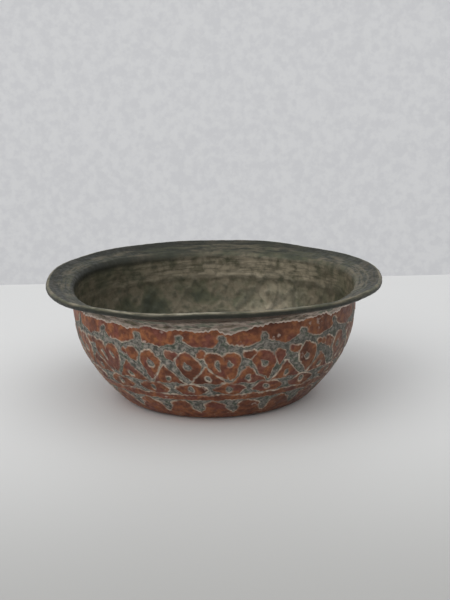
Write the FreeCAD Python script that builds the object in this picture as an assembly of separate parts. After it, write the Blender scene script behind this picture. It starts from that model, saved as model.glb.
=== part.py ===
import FreeCAD, Part

import math
import os

# Tinned copper bowl, raised from one sheet by hammering. Millimetres, +Z up.
# The origin is the centre of the flat underside, on the axis of the bowl.

# Overall sizes, measured over the tin coat
RIM_DIAMETER = 200.0
HEIGHT = 70.0

# Sheet, wire and coats
SHEET = 0.9               # copper sheet after raising and planishing
WIRE_DIAMETER = 1.2       # iron wire that the edge is rolled round
ROLL_GAP = 0.15           # between the end of the roll and the underside of the lip
TIN = 0.2                 # coat of hot-wiped tin, drawn thicker than it is so that it stays a solid

# Lip
LIP_WIDTH = 15.5          # from the outside of the neck to the outer edge
LIP_RISE_ANGLE = 18.5     # degrees above level, going outwards
NECK_BEND_RADIUS = 2.5    # on the outside, where the wall turns out into the lip

# Wall
NECK_STRAIGHT = 0.0929 * HEIGHT    # upright stretch under the neck bend
BELLY_HEIGHT = 0.26 * HEIGHT       # above the table, where the wall's curve changes
BELLY_STEP = 12.3                  # how far the wall has drawn in there, from the neck
LOWER_CURVE = 2.05                 # radius of the wall under the belly, as a share of the radius over it
FOOT_HEIGHT = 3.1                  # where the wall rounds into the flat base

# Tin that ran over the rim and down the outside
OVERRUN_DROP = 0.0643 * HEIGHT     # below the start of the neck bend

# Chased ornament: one group of recesses per repeat, each filled flush
REPEATS = 20
RECESS_DEPTH = 0.35

# Outlines of one repeat, drawn for the wall below and stretched to the wall that they go on
DRAWN_DEPTH = 59.4        # of the wall, from the start of the neck bend to the foot
DRAWN_HALF_REPEAT = 13.22    # at the neck, straight across
KNOB_RADIUS = 2.8
KNOB_STEM = 2.0           # half width of the stem under the round head
KNOB_DROP = 7.5           # head centre below the start of the neck bend
SHOULDER_DROP = 6.9       # foot of the shoulders below the head centre
SHOULDER_SPREAD = 9.6     # half width of the shoulders
SHOULDER_DEPTH = 1.0      # upright ends of the shoulders
HOLLOW = 0.15             # bend of each shoulder, as a share of its length
BAND_WIDTH = 2.6          # straps of the lattice
LATTICE_DROP = 2.0        # top of the lattice below the foot of the shoulders
LATTICE_HEIGHT = 15.0
LATTICE_SPREAD = 9.0      # half width of one crossing
DOT_RADIUS = 1.7
DOT_DROP = 11.2           # dot centre below the top of the lattice, between two crossings
EYE_LENGTH = 12.0
EYE_HALF_HEIGHT = 2.6
EYE_DROP = 5.6            # eye centre below the foot of the lattice
PENDANT_RADIUS = 2.6
PENDANT_LENGTH = 5.0      # from the centre of its head down to its tip
PENDANT_DROP = 14.2       # pendant head below the eye centre, along the upright

FULL_TURN = 360.0
PITCH = FULL_TURN / REPEATS
AXIS = FreeCAD.Vector(0, 0, 1)
ORIGIN = FreeCAD.Vector(0, 0, 0)


def point(radius, height):
    """A point of the section, which lies in the XZ plane."""
    return FreeCAD.Vector(radius, 0, height)


def heading(degrees):
    """Unit direction in the section plane, 0 outwards and 90 upwards."""
    angle = math.radians(degrees)
    return point(math.cos(angle), math.sin(angle))


class Section:
    """The bowl's outer line as arcs tangent to each other, and any line parallel to it."""

    def __init__(self):
        self.bead_radius = WIRE_DIAMETER / 2 + SHEET
        self.bead = point(RIM_DIAMETER / 2 - TIN - self.bead_radius, HEIGHT - TIN - self.bead_radius)
        self.lip_out = heading(LIP_RISE_ANGLE)
        self.lip_up = heading(LIP_RISE_ANGLE + 90)
        self.neck_radius = RIM_DIAMETER / 2 - LIP_WIDTH
        self.neck = self.place_neck()
        self.place_wall()

    def place_neck(self):
        """Centre of the neck bend: level with it the wall ends, and the lip leaves it at a tangent."""
        radius = self.neck_radius + NECK_BEND_RADIUS
        under_lip = self.bead + self.lip_up * (WIRE_DIAMETER / 2)
        centre_line = under_lip - self.lip_up * NECK_BEND_RADIUS
        run = (centre_line.x - radius) / self.lip_out.x
        return centre_line - self.lip_out * run

    def place_wall(self):
        """Centres, radii and end angles of the three arcs below the neck."""
        top = self.neck.z - NECK_STRAIGHT
        rise = top - BELLY_HEIGHT
        self.upper_radius = (BELLY_STEP ** 2 + rise ** 2) / (2 * BELLY_STEP)
        self.upper_centre = point(self.neck_radius - self.upper_radius, top)
        belly = point(self.neck_radius - BELLY_STEP, BELLY_HEIGHT)
        outwards = (belly - self.upper_centre).normalize()
        self.lower_radius = LOWER_CURVE * self.upper_radius
        self.lower_centre = belly - outwards * self.lower_radius
        drop = self.lower_centre.z - FOOT_HEIGHT
        foot = self.lower_centre + point(math.sqrt(self.lower_radius ** 2 - drop ** 2), -drop)
        foot_out = (foot - self.lower_centre).normalize()
        self.corner_radius = FOOT_HEIGHT / (1 + foot_out.z)
        self.corner_centre = foot - foot_out * self.corner_radius
        self.belly_out = outwards
        self.foot_out = foot_out

    def arc(self, centre, radius, first, last):
        """Arc between two unit directions from its centre, on the shorter way round."""
        middle = (first + last).normalize()
        ends = (centre + first * radius, centre + middle * radius, centre + last * radius)
        return Part.Arc(*ends).toShape()

    def base_edges(self, inset):
        """Edges from the axis out to the foot, at a distance inside the outer line."""
        down = point(0, -1)
        corner = self.corner_radius - inset
        start = self.corner_centre + down * corner
        return [line(point(0, inset), start), self.arc(self.corner_centre, corner, down, self.foot_out)]

    def wall_edges(self, inset):
        """Edges from the foot up to the neck, at a distance inside the outer line."""
        out = point(1, 0)
        upper = self.upper_radius - inset
        wall_top = self.upper_centre + out * upper
        return [
            self.arc(self.lower_centre, self.lower_radius - inset, self.foot_out, self.belly_out),
            self.arc(self.upper_centre, upper, self.belly_out, out),
            line(wall_top, point(wall_top.x, self.neck.z)),
        ]

    def neck_edges(self, inset, lip_end):
        """Neck bend and lip, at a distance inside the outer line, out to a point of the lip."""
        radius = NECK_BEND_RADIUS + inset
        bend = self.arc(self.neck, radius, point(-1, 0), self.lip_up)
        lip_start = self.neck + self.lip_up * radius
        return [bend, line(lip_start, lip_end)]

    def whole_edges(self, inset, lip_end):
        """Edges from the axis to a point of the lip, at a distance inside the outer line."""
        return self.base_edges(inset) + self.wall_edges(inset) + self.neck_edges(inset, lip_end)

    def around_bead(self, radius, turn):
        """A point on or round the bead, turned clockwise from the top side of the lip."""
        return self.bead + heading(LIP_RISE_ANGLE + 90 - turn) * radius

    def bead_edge(self, radius, turn):
        """Arc round the bead from the top side of the lip to a turn."""
        stops = [self.around_bead(radius, share * turn) for share in (0, 0.5, 1)]
        return Part.Arc(*stops).toShape()


def revolve(edges, start=0.0, sweep=FULL_TURN):
    """Solid of revolution of a closed outline, from a start angle."""
    wire = Part.Wire(Part.__sortEdges__(edges))
    face = Part.Face(wire)
    face.rotate(ORIGIN, AXIS, start)
    return face.revolve(ORIGIN, AXIS, sweep)


def line(first, last):
    """Straight edge."""
    return Part.LineSegment(first, last).toShape()


def make_shell(section):
    """The raised copper: base, wall, neck, lip, and the edge rolled down round the wire."""
    wire_radius = WIRE_DIAMETER / 2
    roll = FULL_TURN - math.degrees(math.acos((wire_radius - ROLL_GAP) / section.bead_radius))
    outer_lip_end = section.around_bead(wire_radius, 0)
    inner_lip_end = section.around_bead(section.bead_radius, 0)
    edges = section.whole_edges(0, outer_lip_end)
    edges.append(section.bead_edge(wire_radius, roll))
    edges.append(line(section.around_bead(wire_radius, roll), section.around_bead(section.bead_radius, roll)))
    edges.append(section.bead_edge(section.bead_radius, roll))
    edges += section.whole_edges(SHEET, inner_lip_end)
    edges.append(line(point(0, 0), point(0, SHEET)))
    return revolve(edges)


def make_wire(section):
    """Iron wire inside the rolled edge, a plain ring."""
    return Part.makeTorus(section.bead.x, WIRE_DIAMETER / 2, point(0, section.bead.z), AXIS)


def make_lining(section):
    """Tin wiped over the whole inside, the top of the lip and the outside of the rolled edge."""
    quarter = 90 + LIP_RISE_ANGLE
    outer = section.bead_radius + TIN
    copper_end = section.around_bead(section.bead_radius, 0)
    tin_end = section.around_bead(outer, 0)
    edges = section.whole_edges(SHEET, copper_end)
    edges.append(section.bead_edge(section.bead_radius, quarter))
    edges.append(line(section.around_bead(section.bead_radius, quarter), section.around_bead(outer, quarter)))
    edges.append(section.bead_edge(outer, quarter))
    inset = SHEET + TIN
    edges += section.whole_edges(inset, tin_end)
    edges.append(line(point(0, SHEET), point(0, inset)))
    return revolve(edges)


def make_overrun(section):
    """Tin that ran over the edge and froze on the outside, from under the lip down past the neck."""
    wall = section.neck_radius
    low = section.neck.z - OVERRUN_DROP
    shelf = section.bead.x - section.bead_radius - section.neck.x
    lip_end = section.neck + section.lip_up * NECK_BEND_RADIUS + section.lip_out * (shelf / 2)
    tin_lip_end = lip_end - section.lip_up * TIN
    edges = [line(point(wall, low), point(wall, section.neck.z))] + section.neck_edges(0, lip_end)
    edges += [line(lip_end, tin_lip_end)] + section.neck_edges(-TIN, tin_lip_end)
    edges += [line(point(wall + TIN, section.neck.z), point(wall + TIN, low))]
    edges += [line(point(wall + TIN, low), point(wall, low))]
    return revolve(edges)


def make_recess_band(section):
    """A slice of the outer skin of the wall, as deep as the recesses, wide enough for one repeat."""
    edges = section.wall_edges(0) + section.wall_edges(RECESS_DEPTH)
    foot = section.lower_centre + section.foot_out * section.lower_radius
    neck = point(section.neck_radius, section.neck.z)
    edges.append(line(foot, foot - section.foot_out * RECESS_DEPTH))
    edges.append(line(neck, neck - point(RECESS_DEPTH, 0)))
    return revolve(edges, -PITCH, 2 * PITCH)


def carve(band, edges, turn=0.0):
    """The part of the skin behind an outline drawn on the upright plane that faces +X."""
    face = Part.Face(Part.Wire(Part.__sortEdges__(edges)))
    cutter = face.extrude(FreeCAD.Vector(RIM_DIAMETER / 2, 0, 0))
    solid = band.common(cutter).Solids[0]
    solid.rotate(ORIGIN, AXIS, turn)
    return solid


def flat(across, height):
    """A point of an ornament outline."""
    return FreeCAD.Vector(0, across, height)


def hollow(first, last):
    """Arc between two outline points that bends down and inwards, by HOLLOW of its chord."""
    chord = last - first
    middle = (first + last) / 2
    sag = HOLLOW * abs(chord.y) / chord.y
    return Part.Arc(first, middle + FreeCAD.Vector(0, chord.z, -chord.y) * sag, last).toShape()


def polygon(corners):
    """Closed outline with straight sides."""
    return [line(flat(*a), flat(*b)) for a, b in zip(corners, corners[1:] + corners[:1])]


class Ornament:
    """The chased outlines of one repeat, stretched to the wall and the repeat that they go on."""

    def __init__(self, section):
        half_repeat = section.neck_radius * math.sin(math.radians(PITCH / 2))
        self.down = (section.neck.z - FOOT_HEIGHT) / DRAWN_DEPTH
        self.across = half_repeat / DRAWN_HALF_REPEAT
        self.even = min(self.down, self.across)
        self.knob = section.neck.z - self.down * KNOB_DROP
        self.lattice = self.knob - self.down * (SHOULDER_DROP + LATTICE_DROP)
        self.dot = self.lattice - self.down * DOT_DROP
        self.eye = self.lattice - self.down * (LATTICE_HEIGHT + EYE_DROP)
        self.pendant = self.eye - self.down * PENDANT_DROP

    def knob_outline(self):
        """Round head on a stem that spreads into two hollow shoulders."""
        top = self.knob + self.even * KNOB_RADIUS
        stem = self.knob - self.even * math.sqrt(KNOB_RADIUS ** 2 - KNOB_STEM ** 2)
        half_stem = self.even * KNOB_STEM
        spread = self.across * SHOULDER_SPREAD
        foot = self.knob - self.down * SHOULDER_DROP
        low = foot - self.down * SHOULDER_DEPTH
        edges = [Part.Arc(flat(-half_stem, stem), flat(0, top), flat(half_stem, stem)).toShape()]
        for side in (-1, 1):
            tip = flat(side * spread, foot)
            edges.append(hollow(flat(side * half_stem, stem), tip))
            edges.append(line(tip, flat(side * spread, low)))
        edges.append(line(flat(-spread, low), flat(spread, low)))
        return edges

    def crossing_outline(self):
        """Two straps that cross, as one cross-shaped outline."""
        half_height = self.down * LATTICE_HEIGHT / 2
        spread = self.across * LATTICE_SPREAD
        half_width = self.even * BAND_WIDTH / 2
        slope = math.atan2(half_height, spread)
        across = half_width / math.sin(slope)
        up = half_width / math.cos(slope)
        top = self.lattice
        middle = top - half_height
        low = middle - half_height
        corners = [(0, middle + up), (spread - across, top), (spread + across, top), (across, middle)]
        corners += [(spread + across, low), (spread - across, low), (0, middle - up)]
        corners += [(-(spread - across), low), (-(spread + across), low), (-across, middle)]
        corners += [(-(spread + across), top), (-(spread - across), top)]
        return polygon(corners)

    def dot_outline(self):
        """Round recess."""
        return [Part.Circle(flat(0, self.dot), FreeCAD.Vector(1, 0, 0), self.even * DOT_RADIUS).toShape()]

    def eye_outline(self):
        """Almond of two arcs."""
        half_length = self.across * EYE_LENGTH / 2
        half_height = self.even * EYE_HALF_HEIGHT
        ends = (flat(-half_length, self.eye), flat(half_length, self.eye))
        return [
            Part.Arc(ends[0], flat(0, self.eye + side * half_height), ends[1]).toShape() for side in (-1, 1)
        ]

    def pendant_outline(self):
        """Drop with a round head and its point downwards."""
        radius = self.even * PENDANT_RADIUS
        length = self.even * PENDANT_LENGTH
        tip = flat(0, self.pendant - length)
        turn = math.asin(radius / length)
        across = radius * math.cos(turn)
        level = self.pendant - radius * math.sin(turn)
        head = Part.Arc(flat(-across, level), flat(0, self.pendant + radius), flat(across, level))
        return [head.toShape(), line(flat(-across, level), tip), line(tip, flat(across, level))]


def make_fills(section):
    """One solid of each kind of recess fill, in its place in the first repeat."""
    band = make_recess_band(section)
    ornament = Ornament(section)
    return {
        "knob_fill": carve(band, ornament.knob_outline()),
        "lattice_fill": carve(band, ornament.crossing_outline()),
        "dot_fill": carve(band, ornament.dot_outline(), PITCH / 2),
        "eye_fill": carve(band, ornament.eye_outline()),
        "pendant_fill": carve(band, ornament.pendant_outline(), PITCH / 2),
    }


def round_the_bowl(solid):
    """The solid once in every repeat."""
    copies = []
    for step in range(REPEATS):
        copy = solid.copy()
        copy.rotate(ORIGIN, AXIS, step * PITCH)
        copies.append(copy)
    return copies


def main():
    """Builds every piece and writes one STEP file for each."""
    section = Section()
    fills = {name: round_the_bowl(solid) for name, solid in make_fills(section).items()}
    tools = [solid for group in fills.values() for solid in group]
    pieces = {
        "copper_shell": make_shell(section).cut(tools),
        "rim_wire": make_wire(section),
        "tin_lining": make_lining(section),
        "tin_overrun": make_overrun(section),
    }
    pieces.update({name: Part.makeCompound(group) for name, group in fills.items()})
    os.makedirs("parts", exist_ok=True)
    for name, shape in pieces.items():
        shape.exportStep(f"parts/{name}.step")
        print(name, len(shape.Solids), shape.isValid(), round(shape.Volume, 2), shape.BoundBox)


main()
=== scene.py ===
import logging
import math
from dataclasses import dataclass, field
from enum import Enum
from typing import Iterable

import bmesh
import bpy
import numpy as np
from mathutils import Matrix, Vector


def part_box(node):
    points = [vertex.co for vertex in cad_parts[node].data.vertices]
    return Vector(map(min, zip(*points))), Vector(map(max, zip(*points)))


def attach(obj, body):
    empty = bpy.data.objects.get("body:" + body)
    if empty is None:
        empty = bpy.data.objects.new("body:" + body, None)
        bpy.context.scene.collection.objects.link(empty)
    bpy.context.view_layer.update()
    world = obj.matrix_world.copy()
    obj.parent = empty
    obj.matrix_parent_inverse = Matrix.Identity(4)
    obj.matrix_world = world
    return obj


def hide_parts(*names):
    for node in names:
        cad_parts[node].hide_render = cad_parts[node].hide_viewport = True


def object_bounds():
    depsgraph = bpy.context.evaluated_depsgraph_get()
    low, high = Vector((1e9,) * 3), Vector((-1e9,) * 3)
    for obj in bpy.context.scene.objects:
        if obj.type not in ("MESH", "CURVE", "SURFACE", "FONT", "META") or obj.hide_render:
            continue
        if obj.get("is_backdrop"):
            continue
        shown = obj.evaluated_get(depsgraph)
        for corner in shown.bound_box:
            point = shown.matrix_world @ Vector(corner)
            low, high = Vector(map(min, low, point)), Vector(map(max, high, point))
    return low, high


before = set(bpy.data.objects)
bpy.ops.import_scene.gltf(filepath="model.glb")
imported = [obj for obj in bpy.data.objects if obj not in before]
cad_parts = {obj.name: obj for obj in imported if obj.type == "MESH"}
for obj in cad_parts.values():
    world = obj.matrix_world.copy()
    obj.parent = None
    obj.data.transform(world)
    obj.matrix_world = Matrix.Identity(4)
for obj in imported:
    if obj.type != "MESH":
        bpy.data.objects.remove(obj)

# A raised copper bowl: tinned inside and over the lip, with tin run down the neck outside, and a chased
# band of knobs, interlace, eyes and pendants whose sunk ground still holds grey tin and verdigris.
# Sizes are in millimetres; meshes are written in metres.

MM = 0.001
TURN = 2 * math.pi
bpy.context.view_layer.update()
BODY = "root"
LOG = logging.getLogger("bowl")

Array = np.ndarray


def linear(hex_colour: str) -> tuple[float, float, float, float]:
    """Turn an sRGB hex colour into a linear one.

    Args:
        hex_colour: Six hex digits.

    Returns:
        Linear red, green and blue, and an alpha of 1.
    """
    channels = [int(hex_colour[i:i + 2], 16) / 255 for i in (0, 2, 4)]
    values = [c / 12.92 if c <= 0.04045 else ((c + 0.055) / 1.055) ** 2.4 for c in channels]
    return (*values, 1.0)


def smooth(low: float, high: float, value: Array) -> Array:
    """Step softly from 0 at low to 1 at high; low may be the larger of the two."""
    share = np.clip((value - low) / (high - low), 0, 1)
    return share * share * (3 - 2 * share)


class Ripple:
    """Smooth seeded unevenness over azimuth and length, which closes on itself round the bowl."""

    def __init__(
        self, seed: int, size: float, stretch: float = 1.0, waves: int = 18, girth: float = 520.0,
    ) -> None:
        """Choose the waves.

        Args:
            seed: Seed of the random draw.
            size: Usual distance from one swell to the next, in millimetres.
            stretch: How much longer the swells are round the bowl than up and down it.
            waves: How many waves are added up.
            girth: Length round the bowl, in millimetres.
        """
        draw = np.random.default_rng(seed)
        lean = draw.uniform(0, TURN, waves)
        pace = draw.uniform(0.7, 1.3, waves) / size
        self.turns = np.rint(girth * pace * np.cos(lean) / stretch)
        self.rates = TURN * pace * np.sin(lean)
        self.phases = draw.uniform(0, TURN, waves)

    def __call__(self, azimuth: Array, length: Array) -> Array:
        """Height of the unevenness, mostly between -2 and 2, at each place.

        Args:
            azimuth: Angle from the front.
            length: Length down the outer line.

        Returns:
            The heights.
        """
        total = np.zeros(np.broadcast(azimuth, length).shape)
        for turns, rate, phase in zip(self.turns, self.rates, self.phases):
            total += np.sin(turns * azimuth + rate * length + phase)
        return total / math.sqrt(len(self.phases) / 2)


@dataclass
class BowlSection:
    """Upright section of the copper, in millimetres.

    Its outer line is followed by length, down from where the upright wall starts. Lengths below zero go
    up round the neck bend and out under the lip.
    """

    SAMPLES = 160

    rim_radius: float
    height: float
    neck_radius: float
    tin: float = 0.2
    sheet: float = 0.9
    wire_radius: float = 0.6
    lip_rise: float = 18.5
    neck_bend: float = 2.5
    neck_share: float = 0.0929
    belly_in: float = 12.3
    belly_share: float = 0.26
    lower_curve: float = 2.05
    foot_height: float = 3.1
    lip_length: float = field(init=False, default=0.0)
    wall_length: float = field(init=False, default=0.0)
    full_length: float = field(init=False, default=0.0)

    def __post_init__(self) -> None:
        """Work out the tangent arcs and sample the line."""
        rise = math.radians(self.lip_rise)
        self.lip_out = np.array([math.cos(rise), math.sin(rise)])
        self.lip_up = np.array([-math.sin(rise), math.cos(rise)])
        self.bead_radius = self.wire_radius + self.sheet
        shelf = self.tin + self.bead_radius
        self.bead = np.array([self.rim_radius - shelf, self.height - shelf])
        under = self.bead + self.lip_up * self.wire_radius
        middle = under - self.lip_up * self.neck_bend
        run = (middle[0] - self.neck_radius - self.neck_bend) / self.lip_out[0]
        self.neck = middle - self.lip_out * run
        top = self.neck[1] - self.neck_share * self.height
        deep = top - self.belly_share * self.height
        upper_radius = (self.belly_in ** 2 + deep ** 2) / (2 * self.belly_in)
        upper = np.array([self.neck_radius - upper_radius, top])
        belly = np.array([self.neck_radius - self.belly_in, top - deep])
        out = (belly - upper) / upper_radius
        lower_radius = self.lower_curve * upper_radius
        lower = belly - out * lower_radius
        drop = lower[1] - self.foot_height
        foot = lower + np.array([math.sqrt(lower_radius ** 2 - drop ** 2), -drop])
        foot_out = (foot - lower) / lower_radius
        corner_radius = self.foot_height / (1 + foot_out[1])
        corner = foot - foot_out * corner_radius
        angles = [math.atan2(*vector[::-1]) for vector in (out, foot_out)]
        lip_start = self.neck + self.lip_up * self.neck_bend
        neck_foot = np.array([self.neck_radius, self.neck[1]])
        stretches = [
            self._straight(under, lip_start, -self.lip_up),
            self._arc(self.neck, self.neck_bend, math.pi / 2 + rise, math.pi, -1),
            self._straight(neck_foot, upper + [upper_radius, 0], np.array([1.0, 0])),
            self._arc(upper, upper_radius, 0, angles[0], 1),
            self._arc(lower, lower_radius, angles[0], angles[1], 1),
            self._arc(corner, corner_radius, angles[1], -math.pi / 2, 1),
            self._straight(corner - [0, corner_radius], np.zeros(2), np.array([0, -1.0])),
        ]
        self.points = np.concatenate([points for points, _ in stretches])
        self.normals = np.concatenate([normals for _, normals in stretches])
        steps = np.linalg.norm(np.diff(self.points, axis=0), axis=1)
        lengths = np.concatenate([[0], np.cumsum(steps)])
        self.lip_length = lengths[2 * self.SAMPLES - 1]
        self.lengths = lengths - self.lip_length
        self.wall_length = self.lengths[-self.SAMPLES]
        self.full_length = self.lengths[-1]

    def _straight(self, first: Array, last: Array, normal: Array) -> tuple[Array, Array]:
        """Sample a straight stretch and its normals."""
        shares = np.linspace(0, 1, self.SAMPLES)[:, None]
        return first + (last - first) * shares, np.repeat(normal[None], self.SAMPLES, 0)

    def _arc(self, centre: Array, radius: float, start: float, end: float, side: int) -> tuple[Array, Array]:
        """Sample an arc and its normals, which point away from its centre if side is 1.

        Args:
            centre: Centre of the arc.
            radius: Its radius.
            start: Angle of its first point.
            end: Angle of its last point.
            side: 1 or -1, which turns the normals.

        Returns:
            The points and the normals.
        """
        angles = np.linspace(start, end, self.SAMPLES)
        away = np.stack([np.cos(angles), np.sin(angles)], 1)
        return centre + radius * away, side * away

    def place(self, length: Array, inset: Array | float) -> tuple[Array, Array]:
        """Find places at a depth inside the outer line.

        Args:
            length: Length along the outer line.
            inset: Depth under the outer face; below zero it stands proud.

        Returns:
            Radius and height of each place.
        """
        columns = (self.points[:, 0], self.points[:, 1], self.normals[:, 0], self.normals[:, 1])
        r, z, out, up = (np.interp(length, self.lengths, column) for column in columns)
        return r - inset * out, z - inset * up

    def round_bead(self, turn: Array, radius: Array | float) -> tuple[Array, Array]:
        """Find places round the rolled edge, turning outwards and down from the top of the lip.

        Args:
            turn: Degrees turned.
            radius: Distance from the middle of the wire.

        Returns:
            Radius and height of each place.
        """
        angle = np.radians(90 + self.lip_rise - turn)
        return self.bead[0] + radius * np.cos(angle), self.bead[1] + radius * np.sin(angle)


def patch(azimuth: Array, middle: float, spread: float) -> Array:
    """Strength of a soft patch round this azimuth in degrees, 1 at its middle."""
    away = (np.degrees(azimuth) - middle + 180) % 360 - 180
    return np.exp(-((away / spread) ** 2))


@dataclass(frozen=True)
class HandRaising:
    """What raising by hand leaves: a rim that isn't level, a wall not quite round, and hammer dents.

    Flutters and lobes are waves of the rim and the wall: height or depth, number round the bowl, and
    phase. Pushes are places where the rim is bent up: height, azimuth and spread in degrees.
    """

    section: BowlSection
    rim_lift: float = 0.5
    rim_wave: float = 2.2
    rim_tilt: float = 1.5
    rim_wave_turn: float = 2.0
    flutters: tuple[tuple[float, int, float], ...] = ((0.25, 7, 1.0), (0.18, 11, 2.5))
    lobes: tuple[tuple[float, int, float], ...] = ((0.45, 3, 0.7), (0.18, 5, 2.0))
    pushes: tuple[tuple[float, float, float], ...] = ((3.9, -112, 34), (1.9, 100, 30))
    stiff_radius: float = 40.0
    dent_depth: float = 0.07
    dent_size: float = 11.0

    def settle(self, azimuth: Array, radius: Array, height: Array) -> tuple[Array, Array]:
        """Move places as the finished bowl has settled.

        Args:
            azimuth: Angle from the front, towards the right.
            radius: Distance from the axis.
            height: Height over the table.

        Returns:
            New radius and height.
        """
        lip = smooth(self.section.neck_radius - 3, self.section.rim_radius, radius)
        high = smooth(self.section.height * 0.6, self.section.height, height)
        turned = azimuth - math.radians(self.rim_wave_turn)
        wave = self.rim_lift + self.rim_wave * np.cos(2 * turned) + self.rim_tilt * np.cos(turned)
        flutter = sum(rise * np.sin(count * azimuth + phase) for rise, count, phase in self.flutters)
        bulge = sum(depth * np.cos(count * azimuth + phase) for depth, count, phase in self.lobes)
        pushed_up = sum(rise * patch(azimuth, middle, spread) for rise, middle, spread in self.pushes)
        new_radius = radius + high * bulge * smooth(0, self.stiff_radius, radius)
        return new_radius, height + high * (lip * (wave + flutter) + pushed_up)

    def dents(self, azimuth: Array, length: Array) -> Array:
        """Depth of the planishing marks, as shallow rounded hollows that meet at soft ridges."""
        swell = Ripple(11, self.dent_size)(azimuth, length)
        return self.dent_depth * np.abs(swell) + self.dent_depth * Ripple(12, 30.0)(azimuth, length)


class Fill(Enum):
    """The kinds of recess, by the CAD node of the tin that is left in them."""

    KNOB = "knob_fill"
    LATTICE = "lattice_fill"
    DOT = "dot_fill"
    EYE = "eye_fill"
    PENDANT = "pendant_fill"


def disc(x: Array, y: Array, middle: tuple[float, float], radius: float) -> Array:
    """Distance outside a round outline."""
    return np.hypot(x - middle[0], y - middle[1]) - radius


def oval(x: Array, y: Array, middle: tuple[float, float], half: tuple[float, float]) -> Array:
    """Rough distance outside an oval outline with these half sizes."""
    return (np.hypot((x - middle[0]) / half[0], (y - middle[1]) / half[1]) - 1) * min(half)


def drop(x: Array, y: Array, head: tuple[float, float], radius: float, tip: tuple[float, float]) -> Array:
    """Distance outside a drop, round at its head and narrow at its tip.

    Args:
        x: Place across.
        y: Place down.
        head: Centre of the head.
        radius: Radius of the head.
        tip: Place of the tip.

    Returns:
        Distance outside, negative inside.
    """
    run = (tip[0] - head[0], tip[1] - head[1])
    share = ((x - head[0]) * run[0] + (y - head[1]) * run[1]) / (run[0] ** 2 + run[1] ** 2)
    share = np.clip(share, 0, 1)
    away = np.hypot(x - head[0] - share * run[0], y - head[1] - share * run[1])
    return away - radius * (1 - 0.92 * share ** 1.8)


@dataclass(frozen=True)
class Drop:
    """One drop of the ornament: its head, the radius there, and its tip, across and down in millimetres."""

    head: tuple[float, float]
    radius: float
    tip: tuple[float, float]

    def outside(self, across: Array, down: Array) -> Array:
        """Distance outside the drop."""
        return drop(across, down, self.head, self.radius, self.tip)


class Compartment(Enum):
    """What the chaser left standing under a knob: copper drops, and the droplets sunk into them."""

    TWIN = (
        (Drop((-6.2, 19.6), 4.6, (-1.2, 32.4)), Drop((3.6, 19.9), 4.3, (1.2, 32.4)),
         Drop((-12.3, 16.3), 2.1, (-11.8, 17.4))),
        (Drop((-5.2, 22.0), 1.4, (-3.6, 26.4)), Drop((2.5, 22.8), 1.3, (1.6, 19.8))),
    )
    LEAF = (
        (Drop((-6.1, 17.4), 3.2, (-5.4, 19.2)), Drop((2.5, 21.6), 6.0, (1.8, 33.0)),
         Drop((11.0, 16.6), 1.7, (10.4, 18.0))),
        (Drop((1.7, 24.2), 1.9, (0.9, 21.4)),),
    )
    BROAD = (
        (Drop((-9.7, 17.3), 3.2, (-9.2, 19.2)), Drop((-1.4, 21.4), 6.0, (-0.6, 33.0)),
         Drop((8.4, 19.0), 2.7, (7.4, 25.0))),
        (Drop((-2.0, 23.4), 2.2, (-3.4, 21.6)),),
    )
    SHORT = (
        (Drop((-6.2, 18.2), 3.4, (-4.8, 22.0)), Drop((4.2, 20.8), 5.2, (2.2, 32.4)),
         Drop((-11.6, 17.0), 1.4, (-11.2, 18.6))),
        (Drop((4.2, 23.4), 2.0, (3.8, 20.6)),),
    )


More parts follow.
